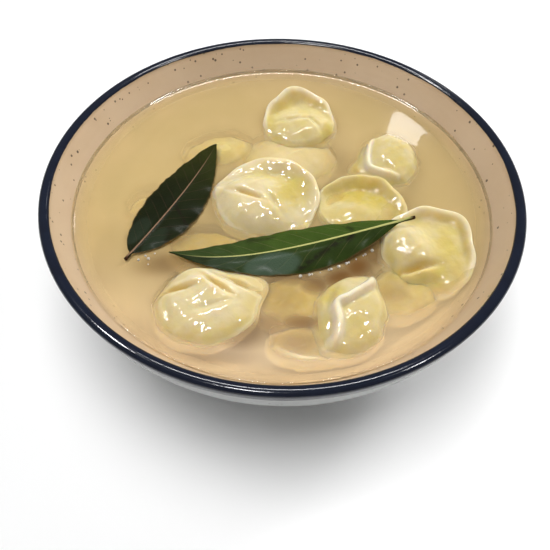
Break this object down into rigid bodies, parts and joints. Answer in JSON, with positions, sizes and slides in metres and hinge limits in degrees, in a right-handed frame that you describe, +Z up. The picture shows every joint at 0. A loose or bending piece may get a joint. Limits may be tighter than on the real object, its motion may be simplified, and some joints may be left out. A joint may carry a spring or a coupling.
{
  "type": "bowl of pelmeni",
  "caption": "Round stoneware bowl with a dark blue rim, filled with clear golden broth, boiled meat dumplings and floating bay leaves; rests on a foot ring.",
  "frame": {"origin": "centre of the foot ring's underside, on the table", "axes": "+Z up along the bowl's axis; -Y towards the diner, the side that the food is seen from; +X to the diner's right"},
  "size_m": [0.2, 0.2, 0.0652],
  "materials": {
    "stoneware": "glossy, speckled, with a dark blue rim",
    "broth": "clear golden liquid, wet surface",
    "dough": "wet boiled dough, slightly translucent",
    "leaf_dark": "wet, waxy, dark olive",
    "leaf_green": "wet, waxy, green with a pale rib"
  },
  "bodies": {
    "root": {"bowl": "stoneware", "broth": "broth", "pelmen_middle": "dough", "pelmen_back": "dough", "pelmen_back_right": "dough", "pelmen_right_inner": "dough", "pelmen_right": "dough", "pelmen_front_left": "dough", "pelmen_front_right": "dough", "bay_leaf_dark": "leaf_dark", "bay_leaf_green": "leaf_green"}
  },
  "joints": []
}
